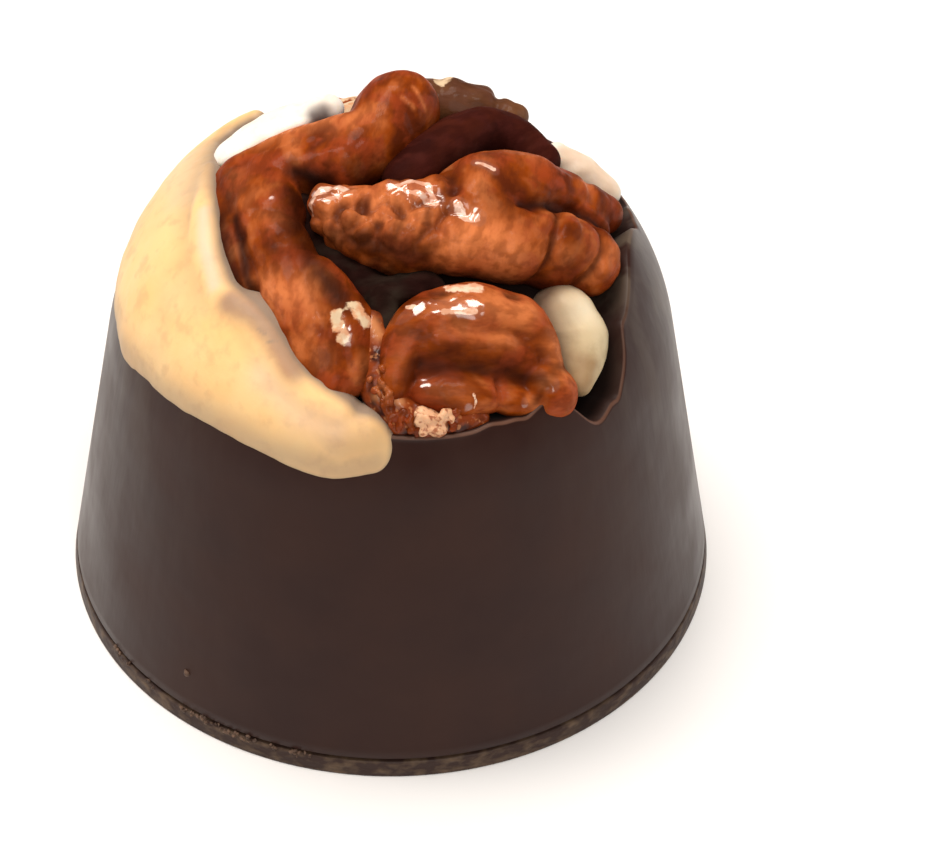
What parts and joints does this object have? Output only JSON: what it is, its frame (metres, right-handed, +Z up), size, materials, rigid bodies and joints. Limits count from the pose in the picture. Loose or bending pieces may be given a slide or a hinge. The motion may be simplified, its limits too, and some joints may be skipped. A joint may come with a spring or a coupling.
{
  "type": "pecan turtle candy",
  "caption": "Tapered dark chocolate candy with a round shoulder, topped with glazed pecan halves, caramel and a band of white chocolate.",
  "frame": {"origin": "middle of the underside of the closing disc, on the surface that the candy stands on", "axes": "+Z up along the axis of the moulded cup, -Y towards the front, where the white chocolate band ends in its round lobe, +X towards the broken side of the rim"},
  "size_m": [0.04, 0.04, 0.0306],
  "materials": {
    "dark_chocolate": "smooth moulded dark chocolate with a soft sheen",
    "disc_chocolate": "dark chocolate, scraped and slightly crumbly at the edge",
    "white_chocolate": "cream white chocolate with a soft sheen",
    "glazed_pecan": "glazed pecan, wrinkled and glossy",
    "dark_pecan": "dark glazed nut, smooth and glossy",
    "caramel": "wet looking caramel with crumbs"
  },
  "bodies": {
    "root": {"chocolate_cup": "dark_chocolate", "closing_disc": "disc_chocolate", "cream_band": "white_chocolate", "cream_right": "white_chocolate", "cream_back_right": "white_chocolate", "cream_back_left": "white_chocolate", "caramel": "caramel", "pecan_top": "glazed_pecan", "pecan_left": "glazed_pecan", "pecan_right": "glazed_pecan", "pecan_front": "glazed_pecan", "pecan_back": "glazed_pecan", "pecan_rear": "glazed_pecan", "pecan_dark": "dark_pecan"}
  },
  "joints": []
}
